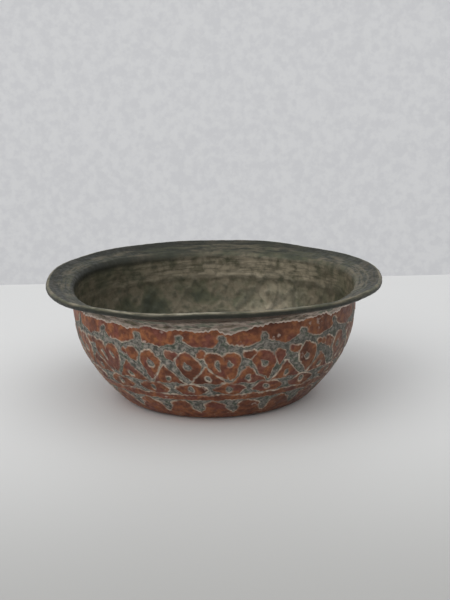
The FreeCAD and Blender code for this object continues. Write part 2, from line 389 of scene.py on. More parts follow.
@dataclass(frozen=True)
class ChasedBand:
    """The ornament, drawn in millimetres across one repeat and down from the top of the wall.

    The lens is given by half its length, half its height and how far down it lies, and the wedge by
    its top, its foot and half its breadth there. Ovals are given by their middle and half sizes.
    """

    section: BowlSection
    repeats: int = 20
    first_knob: float = 2.4
    lean: float = 0.11
    squeeze: float = 3.4
    wobble: float = 0.35
    tremor: float = 0.13
    knob_head: float = 7.4
    knob_radius: float = 2.35
    stem: float = 2.2
    shoulder_top: float = 8.8
    shoulder_foot: float = 12.7
    knob_foot: float = 14.2
    field_foot: float = 45.0
    lattice_foot: float = 36.2
    line_top: float = 50.1
    garland_foot: float = 56.6
    swag_gap: float = 3.0
    growth: float = 0.8
    lens: tuple[float, float, float] = (8.6, 3.9, 40.4)
    wedge: tuple[float, float, float] = (24.3, 34.9, 8.4)
    wedge_dot: tuple[tuple[float, float], tuple[float, float]] = ((0.0, 32.0), (1.4, 1.8))
    eye: tuple[tuple[float, float], tuple[float, float]] = ((-0.4, 40.1), (1.6, 2.4))
    pendant: Drop = Drop((0.0, 57.0), 3.3, (0.2, 62.6))
    order: tuple[Compartment, ...] = (
        Compartment.TWIN, Compartment.BROAD, Compartment.LEAF, Compartment.SHORT, Compartment.TWIN,
        Compartment.LEAF, Compartment.BROAD, Compartment.TWIN, Compartment.SHORT, Compartment.LEAF,
        Compartment.TWIN, Compartment.BROAD, Compartment.SHORT, Compartment.LEAF, Compartment.TWIN,
        Compartment.BROAD, Compartment.LEAF, Compartment.TWIN, Compartment.SHORT, Compartment.LEAF,
    )

    def locate(self, azimuth: Array, length: Array) -> tuple[Array, Array, Array, Array]:
        """Find where places lie in the ornament.

        Args:
            azimuth: Angle from the front.
            length: Length down the outer line.

        Returns:
            Distance across from the middle of the repeat, length down, half a repeat's width, and the
            number of the repeat.
        """
        pitch = TURN / self.repeats
        squeeze = math.radians(self.squeeze)
        stepped = azimuth - math.radians(self.first_knob) + squeeze * np.sin(2 * azimuth)
        leaned = stepped - math.radians(self.lean) * (length - 5)
        number = np.rint(leaned / pitch)
        radius, _ = self.section.place(length, 0.0)
        breadth = pitch * radius / (1 + 2 * squeeze * np.cos(2 * azimuth))
        across = (leaned / pitch - number) * breadth
        across = across + self.wobble * Ripple(21, 10.0)(azimuth, length)
        down = length + self.wobble * Ripple(22, 10.0)(azimuth, length)
        across = across + self.tremor * Ripple(23, 2.8)(azimuth, length)
        down = down + self.tremor * Ripple(24, 2.8)(azimuth, length)
        return across, down, breadth / 2, number.astype(int)

    def knobs(self, across: Array, down: Array, half: Array) -> Array:
        """Distance outside the round-headed knobs and their concave shoulders.

        Args:
            across: Distance across the repeat.
            down: Length down the outer line.
            half: Half the breadth of the repeat.

        Returns:
            Distance outside, negative inside.
        """
        depth = self.shoulder_foot - self.shoulder_top
        share = np.clip((down - self.shoulder_top) / depth, 0, 1.2)
        width = self.stem + (half - self.stem + 0.6) * share ** 1.9
        slope = 1.9 * (half - self.stem + 0.6) * share ** 0.9 / depth
        flare = np.maximum((np.abs(across) - width) / np.hypot(1, slope), self.shoulder_top - down)
        stem = np.maximum(np.abs(across) - self.stem, np.abs(down - self.shoulder_top) - 1.2)
        head = disc(across, down, (0, self.knob_head), self.knob_radius)
        return np.minimum(np.minimum(np.maximum(flare, down - self.knob_foot), stem), head)

    def drops(self, across: Array, down: Array, half: Array, number: Array, sunk: bool) -> Array:
        """Distance outside the copper drops, or the droplets sunk into them.

        Args:
            across: Distance across from the middle of the repeat.
            down: Length down.
            half: Half a repeat's width.
            number: Number of the repeat.
            sunk: True for the droplets.

        Returns:
            Distance outside the nearest one of this repeat and its two neighbours.
        """
        nearest = np.full(across.shape, 99.0)
        for step in (-1, 0, 1):
            kinds = (number + step) % self.repeats
            place = across - 2 * half * step
            for kind in set(self.order):
                chosen = np.isin(kinds, [i for i, name in enumerate(self.order) if name is kind])
                for one in kind.value[1 if sunk else 0]:
                    here = one.outside(place[chosen], down[chosen])
                    nearest[chosen] = np.minimum(nearest[chosen], here)
        return nearest

    def lenses(self, across: Array, down: Array) -> Array:
        """Distance outside the almond compartments of the eyes.

        Args:
            across: Distance across the repeat.
            down: Length down the outer line.

        Returns:
            Distance outside, negative inside.
        """
        half_length, half_height, middle = self.lens
        radius = (half_length ** 2 + half_height ** 2) / (2 * half_height)
        lift = radius - half_height
        low, high = (disc(across, down, (0, middle + side * lift), radius) for side in (1, -1))
        return np.maximum(low, high)

    def wedges(self, across: Array, down: Array, half: Array) -> Array:
        """Distance outside the concave-sided triangles between two crossings.

        Args:
            across: Distance across the repeat.
            down: Length down the outer line.
            half: Half the breadth of the repeat.

        Returns:
            Distance outside, negative inside.
        """
        apex, base, breadth = self.wedge
        share = np.clip((down - apex) / (base - apex), 0, 1.1)
        side = (half - np.abs(across) - breadth * share) * 0.8
        return np.maximum(side, np.maximum(down - base, apex - down))

    def recesses(self, azimuth: Array, length: Array) -> dict[Fill, Array]:
        """Measure how far each place is outside each kind of recess.

        Args:
            azimuth: Angle from the front.
            length: Length down the outer line.

        Returns:
            Distance in millimetres for each kind, below zero inside it. The sunk ground of the knobs, the
            lattice and the eyes is one recess, so it is given whole for the lattice.
        """
        across, down, half, number = self.locate(azimuth, length)
        side = np.abs(across)
        copper = self.drops(across, down, half, number, False)
        standing = np.minimum.reduce([copper, self.lenses(across, down), self.wedges(across, down, half)])
        zone = np.maximum(self.shoulder_foot - down, down - self.field_foot)
        ground = np.maximum(zone, self.growth - standing)
        droplets = self.drops(across, down, half, number, True)
        share = np.clip((self.garland_foot - down) / (self.garland_foot - self.line_top), 0, 1.2)
        swag = (side - self.swag_gap - (half - 1.2) * share ** 2.6) * 0.55
        swag = np.maximum(swag, np.maximum(self.line_top - down, down - self.garland_foot))
        return {
            Fill.KNOB: self.knobs(across, down, half),
            Fill.LATTICE: ground,
            Fill.DOT: np.minimum(droplets, oval(half - side, down, *self.wedge_dot)),
            Fill.EYE: oval(across, down, *self.eye),
            Fill.PENDANT: np.minimum(swag, self.pendant.outside(across, down)),
        }

    def fills(self, azimuth: Array, length: Array) -> dict[Fill, Array]:
        """Measure how far each place is outside the tin of each kind of recess.

        Args:
            azimuth: Angle from the front.
            length: Length down the outer line.

        Returns:
            Distance for each kind. The sunk ground is shared out among knobs, lattice and eyes by height.
        """
        found = self.recesses(azimuth, length)
        ground = found[Fill.LATTICE]
        top, foot = self.knob_foot - length, length - self.lattice_foot
        found[Fill.KNOB] = np.maximum(np.minimum(found[Fill.KNOB], ground), -top)
        found[Fill.LATTICE] = np.maximum(ground, np.maximum(top, foot))
        found[Fill.EYE] = np.minimum(found[Fill.EYE], np.maximum(ground, -foot))
        return found

    def outside(self, azimuth: Array, length: Array) -> Array:
        """Distance outside every recess."""
        return np.minimum.reduce(list(self.recesses(azimuth, length).values()))


@dataclass(frozen=True)
class Chasing:
    """How the punch left the metal beside and in the recesses, in millimetres."""

    depth: float = 0.5
    burr: float = 0.14
    slope: float = 0.3
    burr_place: float = 0.45
    burr_width: float = 0.32
    rub_place: float = 0.14
    rub_width: float = 0.36
    fill_level: float = 0.2
    shows_inside: float = 0.24

    def sink(self, outside: Array) -> Array:
        """Depth of the copper's outer face under its plain surface."""
        ridge = np.exp(-(((outside - self.burr_place) / self.burr_width) ** 2))
        return self.depth * smooth(self.slope, -self.slope, outside) - self.burr * ridge

    def outline(self, outside: Array) -> Array:
        """How much of the burr, worn by rubbing, shows, from 0 to 1."""
        return np.exp(-(((outside - self.rub_place) / self.rub_width) ** 2))


@dataclass(frozen=True)
class Grain:
    """A noise over the metal, carried from one range of values to another.

    Its size is the usual distance between swells in millimetres. A drawn grain is that many times
    longer round the bowl than across.
    """

    size: float
    detail: float = 3.0
    low: float = 0.3
    high: float = 0.7
    least: float = 0.0
    most: float = 1.0
    drawn: float = 0.0


@dataclass(frozen=True)
class Layer:
    """A colour over the ones below it, as strong as its grains and the mesh's own mark make it."""

    colour: str
    grains: tuple[Grain, ...] = ()
    mark: str = ""
    strength: float = 1.0


class Nodes:
    """A material's node tree, filled one node at a time."""

    ROUGHNESS = 0.55
    DRAWN_RADIUS = 85.0

    def __init__(self, name: str) -> None:
        """Start a material that holds only its Object coordinates.

        Args:
            name: Name of the material.
        """
        self.material = bpy.data.materials.new(name)
        self.material.use_nodes = True
        self.tree = self.material.node_tree
        self.tree.nodes.clear()
        self.place = self.add("TexCoord").outputs["Object"]

    def add(self, kind: str, inputs: dict | None = None, stops: Iterable = (), **settings) -> bpy.types.Node:
        """Add a node.

        Args:
            kind: Name of the node's type, after ShaderNode.
            inputs: Value or socket for each input, by its name or number.
            stops: Place and colour of each stop, for a colour ramp.
            settings: Properties of the node.

        Returns:
            The node.
        """
        node = self.tree.nodes.new("ShaderNode" + kind)
        for name, value in settings.items():
            setattr(node, name, value)
        for index, (place, colour) in enumerate(stops):
            ramp = node.color_ramp.elements
            stop = ramp[index] if index < len(ramp) else ramp.new(place)
            stop.position = place
            stop.color = linear(colour)
        for name, value in (inputs or {}).items():
            if isinstance(value, bpy.types.NodeSocket):
                self.tree.links.new(value, node.inputs[name])
            else:
                node.inputs[name].default_value = value
        return node

    def wrapped(self, longer: float) -> bpy.types.NodeSocket:
        """Places on a small ring, so that a noise over them is this many times longer round the bowl.

        Args:
            longer: How many times longer.

        Returns:
            The places.
        """
        parts = self.add("SeparateXYZ", {"Vector": self.place}).outputs
        level = self.add("CombineXYZ", {"X": parts["X"], "Y": parts["Y"]})
        way = self.add("VectorMath", {0: level.outputs["Vector"]}, operation="NORMALIZE")
        radius = self.DRAWN_RADIUS * MM / longer
        ring = self.add("VectorMath", {0: way.outputs["Vector"], "Scale": radius}, operation="SCALE")
        depth = self.add("CombineXYZ", {"Z": self.add("Attribute", attribute_name="down").outputs["Fac"]})
        both = {0: ring.outputs["Vector"], 1: depth.outputs["Vector"]}
        return self.add("VectorMath", both, operation="ADD").outputs["Vector"]

    def swell(self, grain: Grain) -> bpy.types.NodeSocket:
        """A grain's plain noise, between 0 and 1.

        Args:
            grain: The grain.

        Returns:
            The noise.
        """
        place = self.wrapped(grain.drawn) if grain.drawn else self.place
        scale = 1 / (grain.size * MM)
        inputs = {"Vector": place, "Scale": scale, "Detail": grain.detail, "Roughness": self.ROUGHNESS}
        return self.add("TexNoise", inputs).outputs["Fac"]

    def strength(self, grain: Grain) -> bpy.types.NodeSocket:
        """A grain's noise, carried to its own range."""
        inputs = {"Value": self.swell(grain), 1: grain.low, 2: grain.high, 3: grain.least, 4: grain.most}
        return self.add("MapRange", inputs, interpolation_type="SMOOTHSTEP").outputs["Result"]

    def cover(self, below: bpy.types.NodeSocket, layer: Layer) -> bpy.types.NodeSocket:
        """Lay one layer over the colour below it.

        Args:
            below: Colour so far.
            layer: What comes over it.

        Returns:
            The new colour.
        """
        shares = [self.strength(grain) for grain in layer.grains]
        if layer.mark:
            shares.append(self.add("Attribute", attribute_name=layer.mark).outputs["Fac"])
        share = shares[0]
        for more in shares[1:] + ([layer.strength] if layer.strength < 1 else []):
            share = self.add("Math", {0: share, 1: more}, operation="MULTIPLY").outputs["Value"]
        return self.add("Mix", {0: share, 6: below, 7: linear(layer.colour)}, data_type="RGBA").outputs[2]


RUBBED_GRAINS = (Grain(2.2, 3, 0.3, 0.6, 0.35, 1.0), Grain(9.0, 2, 0.36, 0.62, 0.3, 1.0))
RUBBED_BURR = Layer("c2b6a5", RUBBED_GRAINS, "edge")


@dataclass(frozen=True)
class MetalFinish:
    """A worn metal surface: a ground of patches, layers over it, roughness and a fine unevenness."""

    name: str
    slot: str
    metallic: float
    ground: Grain
    stops: tuple[tuple[float, str], ...]
    layers: tuple[Layer, ...]
    rough: Grain = Grain(2.5, 3, 0.3, 0.7, 0.42, 0.62)
    skin: Grain = Grain(1.2, 4)
    bump: float = 0.35
    bump_depth: float = 0.25

    def make(self) -> bpy.types.Material:
        """Build the material.

        Returns:
            The finished material.
        """
        nodes = Nodes(self.name)
        colour = nodes.add("ValToRGB", {"Fac": nodes.swell(self.ground)}, stops=self.stops).outputs["Color"]
        for layer in self.layers:
            colour = nodes.cover(colour, layer)
        relief = {"Height": nodes.swell(self.skin), "Strength": self.bump, "Distance": self.bump_depth * MM}
        shader = nodes.add("BsdfPrincipled", {
            "Base Color": colour,
            "Roughness": nodes.strength(self.rough),
            "Metallic": self.metallic,
            "Normal": nodes.add("Bump", relief).outputs["Normal"],
        })
        nodes.add("OutputMaterial", {"Surface": shader.outputs["BSDF"]})
        return nodes.material


@dataclass(frozen=True)
class RaisedCopper(MetalFinish):
    """Copper raised by hammer and left to tone.

    It gives the eye patches of orange-brown and dulled red, painted shade on the right, away from the light,
    a few pale splashes of tin, darker copper where it sinks into the recesses, and burrs worn pale by
    rubbing.
    """

    name: str = "raised_copper"
    slot: str = "copper"
    metallic: float = 0.85
    ground: Grain = Grain(14, 4)
    stops: tuple[tuple[float, str], ...] = (
        (0.30, "5f3b2f"), (0.42, "8d5942"), (0.50, "a76e4a"), (0.60, "835046"), (0.74, "9b6e58"),
    )
    layers: tuple[Layer, ...] = (
        Layer("5a3830", (Grain(3.0, 6, 0.38, 0.66, 0.0, 0.65),)),
        Layer("bca79b", (Grain(9, 3, 0.62, 0.68), Grain(2.0, 4, 0.48, 0.58, 0.0, 0.8))),
        Layer("bca79b", (Grain(1.6, 4, 0.4, 0.55, 0.3, 0.95),), "splash"),
        # Painted shade on the right side, away from the light, and a slightly darker chased field.
        Layer("3c332c", (), "dull_and_shade"),
        Layer("3b342b", (), "dark_and_shade", 0.85),
        RUBBED_BURR,
    )


@dataclass(frozen=True)
class WipedTin(MetalFinish):
    """Tin wiped on hot over the inside and the lip, and tarnished.

    It gives the eye dark grey-green with olive and brown bloom, painted light under the mouth at the back, a
    pale worn track below it, streaked round the bowl, and darker where the chasing shows through. Painted
    shade lies on the left, round the mouth, on the lip and under the rolled edge, with a painted highlight
    along the front of the rolled edge.
    """

    name: str = "wiped_tin_tarnished"
    slot: str = "tin"
    metallic: float = 0.45
    ground: Grain = Grain(20, 5)
    stops: tuple[tuple[float, str], ...] = (
        (0.32, "464a39"), (0.45, "62614b"), (0.55, "7f7561"), (0.66, "66644f"), (0.78, "4f5445"),
    )
    layers: tuple[Layer, ...] = (
        # Painted light under the mouth at the back, and a pale worn track below it.
        Layer("b7ab94", (Grain(8, 5, 0.35, 0.55, 0.2, 1.0),), "lit_and_worn"),
        Layer("3f4334", (Grain(4.5, 5, 0.45, 0.7, 0.0, 0.5),)),
        Layer("34372b", (Grain(1.6, 4, 0.42, 0.62, drawn=7),), "streaky"),
        # Painted shade on the left, round the mouth, on the lip and under the rolled edge, and a darker wall
        # where the chasing shows through.
        Layer("1d1f18", (), "dark_and_shade", 0.92),
        # Painted highlight along the upper outer side of the rolled edge, strongest at the front.
        Layer("b3ad99", (Grain(2.0, 4, 0.4, 0.6, 0.1, 0.8, 5),), "edge"),
    )


@dataclass(frozen=True)
class RunTin(MetalFinish):
    """Tin that ran over the edge and froze on the neck.

    It gives the eye grey and brown-grey streaks round the neck, with a pale pinkish rim where it stopped,
    and painted shade under the lip.
    """

    name: str = "run_tin"
    slot: str = "tin"
    metallic: float = 0.5
    ground: Grain = Grain(2.6, 4, drawn=6)
    stops: tuple[tuple[float, str], ...] = (
        (0.30, "55543f"), (0.42, "7d7062"), (0.52, "a5978c"), (0.60, "6f7464"), (0.74, "94877f"),
    )
    layers: tuple[Layer, ...] = (
        Layer("37352d", (Grain(0.9, 4, 0.5, 0.66, 0.0, 0.7, 4),)),
        # Painted shade under the lip.
        Layer("42352c", (), "dark_and_shade", 0.7),
        Layer("c4b3a6", (Grain(4, 3, 0.3, 0.6, 0.25, 1.0),), "edge"),
    )


@dataclass(frozen=True)
class RecessTin(MetalFinish):
    """Tin and verdigris left in the chased ground, and never wiped.

    It gives the eye a rough mottled grey with dark pits, dark beside the copper and pale at the burr.
    """

    name: str = "recess_tin"
    slot: str = "recess_tin"
    metallic: float = 0.25
    ground: Grain = Grain(3.6, 5)
    stops: tuple[tuple[float, str], ...] = (
        (0.30, "4d4b44"), (0.42, "736f67"), (0.53, "9a9289"), (0.61, "69705f"), (0.74, "585750"),
    )
    layers: tuple[Layer, ...] = (
        Layer("32342c", (Grain(2.1, 5, 0.5, 0.62, 0.0, 0.7),)),
        Layer("343830", (), "dark_and_shade", 0.75),
        RUBBED_BURR,
        # Painted shade on the right side, away from the light.
        Layer("3c3a32", (), "dull_and_shade"),
    )
    rough: Grain = Grain(2.0, 3, 0.3, 0.7, 0.6, 0.8)


@dataclass(frozen=True)
class DrawnIron(MetalFinish):
    """Iron wire, drawn, which gives the eye dark grey with brown rust where the edge is open."""

    name: str = "drawn_iron_wire"
    slot: str = "iron_wire"
    metallic: float = 0.9
    ground: Grain = Grain(3, 4)
    stops: tuple[tuple[float, str], ...] = ((0.4, "55524d"), (0.7, "5a3b28"))
    layers: tuple[Layer, ...] = ()


@dataclass
class Skin:
    """A face of the bowl turned from a profile, with the place of each vertex kept."""

    name: str
    rows: int
    steps: int = 36
    cuts: int = 39
    mesh: bpy.types.Mesh = field(init=False)
    azimuth: Array = field(init=False)
    row: Array = field(init=False)

    def __post_init__(self) -> None:
        """Spin a profile with one point for each row, divide it, and see where each vertex is."""
        bm = bmesh.new()
        layer = bm.verts.layers.float.new("row")
        points = []
        for index in range(self.rows):
            point = bm.verts.new((0.0, -1.0, -0.01 * index))
            point[layer] = index
            points.append(point)
        edges = [bm.edges.new(pair) for pair in zip(points, points[1:])]
        bmesh.ops.spin(bm, geom=points + edges, cent=(0, 0, 0), axis=(0, 0, 1), dvec=(0, 0, 0), angle=TURN,
                       steps=self.steps, use_merge=True, use_duplicate=False)
        level = [e for e in bm.edges if abs(e.verts[0].co.z - e.verts[1].co.z) < MM]
        bmesh.ops.subdivide_edges(bm, edges=level, cuts=self.cuts)
        self.mesh = bpy.data.meshes.new(self.name)
        bm.to_mesh(self.mesh)
        bm.free()
        self.row = self.read(self.mesh.attributes["row"].data, "value", 1)
        self.mesh.attributes.remove(self.mesh.attributes["row"])
        x, y, _ = self.read(self.mesh.vertices, "co", 3).reshape(-1, 3).T
        self.azimuth = np.arctan2(x, -y)

    def read(self, source: bpy.types.bpy_prop_collection, name: str, width: int) -> Array:
        """Numbers of every vertex of the mesh.

        Args:
            source: Where the numbers are kept.
            name: Name of the number.
            width: How many numbers each vertex has.

        Returns:
            The numbers in a row.
        """
        values = np.empty(len(source) * width, np.float32)
        source.foreach_get(name, values)
        return values.astype(float)

    def values(self, table: Array) -> Array:
        """A value at each vertex, from one for each row."""
        return np.interp(self.row, np.arange(len(table)), table)

    def shape(self, radius: Array, height: Array) -> None:
        """Put the vertices at a radius and a height, in millimetres."""
        places = np.stack([radius * np.sin(self.azimuth), -radius * np.cos(self.azimuth), height], 1)
        self.mesh.vertices.foreach_set("co", (places * MM).astype(np.float32).ravel())

    def mark(self, name: str, values: Array) -> None:
        """Keep a number at each vertex for the material."""
        data = self.mesh.attributes.new(name, "FLOAT", "POINT").data
        data.foreach_set("value", values.astype(np.float32))

    def finish(self, finish: bpy.types.Material, slot: str, nodes: tuple[str, ...],
               wanted: Array | None = None) -> bpy.types.Object:
        """Drop unwanted faces, close the pole or the ring, and make the piece.

        Args:
            finish: Material of the piece.
            slot: Not used.
            nodes: CAD nodes that the piece stands for.
            wanted: True at each vertex whose faces stay; every face stays if it is left out.

        Returns:
            The object.
        """
        bm = bmesh.new()
        bm.from_mesh(self.mesh)
        if wanted is not None:
            flags = wanted.tolist()
            spare = [f for f in bm.faces if not any(flags[v.index] for v in f.verts)]
            bmesh.ops.delete(bm, geom=spare, context="FACES")
        else:
            bmesh.ops.remove_doubles(bm, verts=bm.verts, dist=0.002 * MM)
        bm.to_mesh(self.mesh)
        bm.free()
        return register(self.name, self.mesh, finish, nodes)


def register(name: str, mesh: bpy.types.Mesh, finish: bpy.types.Material,
             nodes: tuple[str, ...]) -> bpy.types.Object:
    """Make a piece of a mesh, on the bowl's one body.

    Args:
        name: Name of the piece.
        mesh: Its mesh, in metres in the bowl's frame.
        finish: Its material.
        nodes: CAD nodes that the piece stands for.

    Returns:
        The object.
    """
    piece = bpy.data.objects.new(name, mesh)
    bpy.context.scene.collection.objects.link(piece)
    mesh.materials.append(finish)
    mesh.shade_smooth()
    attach(piece, BODY)
    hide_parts(*nodes)
    triangles = sum(len(face.vertices) - 2 for face in mesh.polygons)
    LOG.info("%s: %d triangles, %s", name, triangles, finish.name)
    return piece


def shade_on_right(azimuth: Array) -> Array:
    """Painted shade on the outside, most at the right, the side turned away from the light."""
    return 0.5 * patch(azimuth, 62, 46)


@dataclass
class CopperShell:
    """The outside of the raised copper, in three zones that meet under lines of the ornament.

    Spots are splashes of tin on the neck: azimuth in degrees, length down and size.
    """

    section: BowlSection
    raising: HandRaising
    band: ChasedBand
    chasing: Chasing
    step: float = 0.38
    top: float = -3.0
    seams: tuple[float, ...] = (23.0, 46.4, 64.4)
    corner_end: float = 78.0
    spots: tuple[tuple[float, float, float], ...] = (
        (-27.5, 10.6, 1.7), (-26.0, 12.2, 1.2), (24.2, 7.6, 1.3), (22.0, 9.4, 1.0), (9.6, 11.4, 1.1),
        (11.8, 14.4, 1.6), (-43.0, 11.0, 1.2), (39.0, 4.4, 1.1), (42.5, 4.1, 1.0), (118.0, 9.0, 1.8),
        (-131.0, 8.2, 1.5),
    )

    def zones(self) -> dict[str, Array]:
        """Rows of each zone, as lengths down the outer line.

        Returns:
            The rows by the name of the zone.
        """
        seams = (self.top, *self.seams)
        zones = {}
        for name, start, end in zip(("neck", "belly", "foot"), seams, seams[1:]):
            zones[name] = np.linspace(start, end, round((end - start) / self.step) + 1)
        corner = np.linspace(self.seams[-1], self.corner_end, 11)[1:]
        base = np.linspace(self.corner_end, self.section.full_length, 9)[1:]
        zones["foot"] = np.concatenate([zones["foot"], corner, base])
        return zones

    def build(self, finish: MetalFinish) -> None:
        """Make every zone.

        Args:
            finish: The copper.
        """
        material = finish.make()
        for name, lengths in self.zones().items():
            skin = Skin("copper_" + name, len(lengths))
            length = skin.values(lengths)
            outside = self.band.outside(skin.azimuth, length)
            worn = smooth(73, 63, length)
            depth = self.chasing.sink(outside) + self.raising.dents(skin.azimuth, length) * worn
            radius, height = self.section.place(length, depth)
            skin.shape(*self.raising.settle(skin.azimuth, radius, height))
            skin.mark("edge", self.chasing.outline(outside))
            field_zone = 0.16 * smooth(12, 16, length) * smooth(48, 44, length)
            # This mark holds painted shade on the right side, away from the light, and a plain dulling over
            # the chased field.
            skin.mark("dull_and_shade", np.maximum(shade_on_right(skin.azimuth), field_zone))
            skin.mark("splash", self.splash(skin.azimuth, length))
            skin.mark("dark_and_shade", smooth(0.25, -0.25, outside))
            skin.finish(material, finish.slot, ("copper_shell",))

    def splash(self, azimuth: Array, length: Array) -> Array:
        """Strength of the pale tin splashed on the neck.

        Args:
            azimuth: Angle from the front.
            length: Length down the outer line.

        Returns:
            Strength from 0 to 1.
        """
        strength = np.zeros(azimuth.shape)
        ragged = 0.5 * Ripple(61, 2.4)(azimuth, length)
        for middle, down, size in self.spots:
            across = (azimuth - math.radians(middle)) * self.section.neck_radius
            away = np.hypot(across, length - down) + ragged
            strength = np.maximum(strength, smooth(size, size / 2, away))
        return strength


@dataclass
class RecessFills:
    """The tin left in the recesses, one piece for each kind of recess."""

    section: BowlSection
    raising: HandRaising
    band: ChasedBand
    chasing: Chasing
    step: float = 0.38
    unevenness: float = 0.05
    tuck: float = 0.45

    SPANS = {
        Fill.KNOB: (3.5, 14.2), Fill.LATTICE: (13.2, 38.2), Fill.DOT: (18.0, 36.0),
        Fill.EYE: (34.6, 46.6), Fill.PENDANT: (48.4, 65.8),
    }

    def build(self, finish: MetalFinish) -> None:
        """Make every kind.

        Args:
            finish: The tin in the recesses.
        """
        material = finish.make()
        for kind, (start, end) in self.SPANS.items():
            lengths = np.linspace(start, end, round((end - start) / self.step) + 1)
            skin = Skin(kind.value, len(lengths))
            length = skin.values(lengths)
            outside = self.band.fills(skin.azimuth, length)[kind]
            border = self.band.outside(skin.azimuth, length)
            level = self.chasing.fill_level + self.unevenness * Ripple(31, 4.0)(skin.azimuth, length)
            depth = level + self.tuck * smooth(0.05, 0.45, outside)
            depth = depth + self.raising.dents(skin.azimuth, length)
            radius, height = self.section.place(length, depth)
            skin.shape(*self.raising.settle(skin.azimuth, radius, height))
            line = smooth(-1.1, -0.4, border) * smooth(0, -0.4, border)
            core = smooth(-0.8, -1.5, border) * smooth(-0.5, 0.8, Ripple(62, 5.0)(skin.azimuth, length))
            skin.mark("dark_and_shade", np.maximum(line, 0.75 * core))
            skin.mark("edge", smooth(-0.5, -0.12, border))
            # Painted shade on the right side of the fills, away from the light.
            skin.mark("dull_and_shade", shade_on_right(skin.azimuth))
            skin.finish(material, finish.slot, (kind.value,), outside < 0.2)


@dataclass
class TinLining:
    """Tin over the whole inside, the lip and round the rolled edge."""

    section: BowlSection
    raising: HandRaising
    band: ChasedBand
    chasing: Chasing
    unevenness: float = 0.05

    def rows(self) -> Array:
        """Lengths of the rows, from the middle of the base up to the end of the lip.

        Returns:
            The lengths down the outer line.
        """
        s = self.section
        base = np.linspace(s.full_length, s.wall_length, 16)[:-1]
        wall = np.linspace(s.wall_length, 0, 100)[:-1]
        lip = np.linspace(0, -s.lip_length, 26)
        return np.concatenate([base, wall, lip])

    def build(self, finish: MetalFinish) -> None:
        """Make the lining as one skin.

        Args:
            finish: The tin.
        """
        s = self.section
        rows = self.rows()
        turns = np.linspace(12, 285, 18)
        skin = Skin("tin_lining", len(rows) + len(turns), 36, 16)
        on_bead = skin.row > len(rows) - 0.5
        length = np.interp(skin.row, np.arange(len(rows)), rows)
        turn = np.interp(skin.row, len(rows) + np.arange(len(turns)), turns)
        outside = self.band.outside(skin.azimuth, length)
        pushed = smooth(1.3, -1.1, outside) * smooth(5, 12, length)
        dents = self.raising.dents(skin.azimuth, length) * smooth(73, 58, length)
        inset = s.sheet + s.tin + self.chasing.shows_inside * pushed + dents
        flat = s.place(length, inset)
        swell = self.unevenness * Ripple(41, 8.0)(skin.azimuth, turn / 4)
        bead = s.round_bead(turn, s.bead_radius + s.tin + swell)
        radius = np.where(on_bead, bead[0], flat[0])
        height = np.where(on_bead, bead[1], flat[1])
        skin.shape(*self.raising.settle(skin.azimuth, radius, height))
        darkness = self.darkness(skin.azimuth, length, outside)
        # On the rolled edge: painted shade where it turns down and under.
        skin.mark("dark_and_shade", np.where(on_bead, smooth(40, 110, turn), darkness))
        # Painted highlight along the upper outer side of the rolled edge, strongest at the front.
        painted_highlight = smooth(8, 30, turn) * smooth(80, 45, turn) * (0.15 + 0.85 * patch(skin.azimuth, -14, 32))
        skin.mark("edge", np.where(on_bead, painted_highlight, 0.0))
        # Painted light under the mouth at the back, and a pale worn track below it.
        skin.mark("lit_and_worn", self.lit_and_worn(skin.azimuth, length))
        streaky = 0.1 + 0.35 * smooth(18, 8, length) + 0.5 * smooth(-2, -4, length)
        skin.mark("streaky", np.where(on_bead, 0.8, streaky))
        skin.mark("down", np.where(on_bead, -16 - turn / 30, length) * MM)
        skin.finish(finish.make(), finish.slot, ("tin_lining",))

    def darkness(self, azimuth: Array, length: Array, outside: Array) -> Array:
        """Find how dark the lining is made, mostly by painted shade.

        Args:
            azimuth: Angle from the front.
            length: Length down the outer line.
            outside: Distance outside the recesses that show through.

        Returns:
            Strength from 0 to 1: painted shade, strong on the left, at the mouth, on the outer part of the
                lip and on
            the lip at the left and back. The lip and the wall, most where the chasing shows through, are
            darker too.
        """
        # Painted shade on the left, the side turned away from the light.
        shade = patch(azimuth, -115, 75)
        inside = smooth(-3.3, -2.6, length)
        low = smooth(8, 14, length) * smooth(70, 60, length)
        relief = low * (0.12 + 0.38 * smooth(0.6, -0.8, outside))
        # Painted shade round the mouth, strongest on the left.
        mouth = (0.15 + 0.85 * shade) * inside * smooth(4, 0, length)
        # Painted shade on the outer band of the lip, a dark reflection, deepest at the back left.
        outer_lip = smooth(-9.0, -11.0, length + 0.6 * Ripple(42, 20.0)(azimuth, length))
        outer_lip = outer_lip * (0.72 + 0.28 * patch(azimuth, -130, 70))
        # The lip a little darker all round, with painted shade on the left and at the back.
        lip = (0.28 + 0.2 * shade + 0.2 * patch(azimuth, 180, 60)) * smooth(-2, -3, length)
        return np.maximum.reduce([relief, mouth, 0.4 * shade * inside, outer_lip, lip])

    def lit_and_worn(self, azimuth: Array, length: Array) -> Array:
        """How pale the tin is: painted light under the mouth at the back, and a pale worn track below it."""
        high = patch(azimuth, 165, 50) * smooth(-1.5, 0.5, length) * smooth(22, 8, length)
        return np.maximum(high, 0.55 * patch(azimuth, 148, 16) * smooth(5, 15, length))


